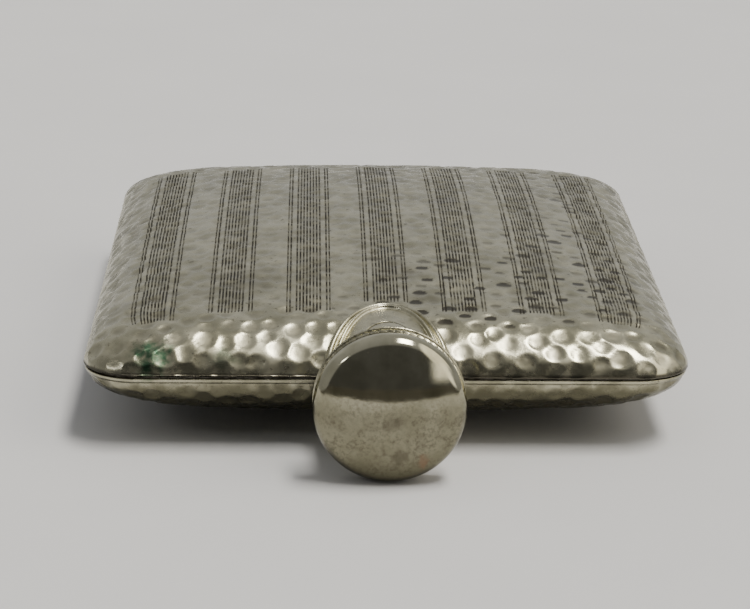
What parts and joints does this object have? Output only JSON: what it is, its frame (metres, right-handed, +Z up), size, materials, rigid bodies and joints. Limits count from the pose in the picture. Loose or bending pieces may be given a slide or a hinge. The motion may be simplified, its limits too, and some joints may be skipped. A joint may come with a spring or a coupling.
{
  "type": "hip flask",
  "caption": "Pillow-shaped hammered metal pocket flask with engraved stripes, a short round neck and a domed screw cap with a cork seal, lying on its back.",
  "frame": {"origin": "middle of the whole flask's outline, on the surface it lies on", "axes": "+Z up out of the front face, +Y along the flask from cap to base, +X to the right seen from the cap end"},
  "size_m": [0.092, 0.1324, 0.023],
  "materials": {
    "hammered_plate": "hammered, engraved and tarnished silver plate on nickel silver",
    "plain_plate": "smooth worn silver plate",
    "cap_plate": "polished plate, finely pitted with age",
    "milled_plate": "plated, milled at the rim",
    "brass": "turned, dull",
    "solder": "dull grey soft solder, darkened",
    "cork": "natural cork, stained at the edge"
  },
  "bodies": {
    "flask": {"front_shell": "hammered_plate", "back_shell": "hammered_plate", "seam_solder": "solder", "neck_collar": "plain_plate", "neck_sleeve": "plain_plate", "neck_ferrule": "brass"},
    "liner": {"liner_plate": "brass", "cork_disc": "cork"},
    "cap": {"cap_dome": "cap_plate", "cap_barrel": "milled_plate"}
  },
  "joints": [
    {"name": "cap_travel", "type": "slide", "parent": "flask", "child": "liner", "axis": [0, -1, 0], "range_m": [0, 0.0064]},
    {"name": "cap_turn", "type": "hinge", "parent": "liner", "child": "cap", "pos_m": [0, -0.06, 0.0115], "axis": [0, -1, 0], "range_deg": [0, 1440]}
  ],
  "couplings": [
    {"joint": "cap_turn", "follows": "cap_travel", "rad_per_m": 3926.9}
  ]
}
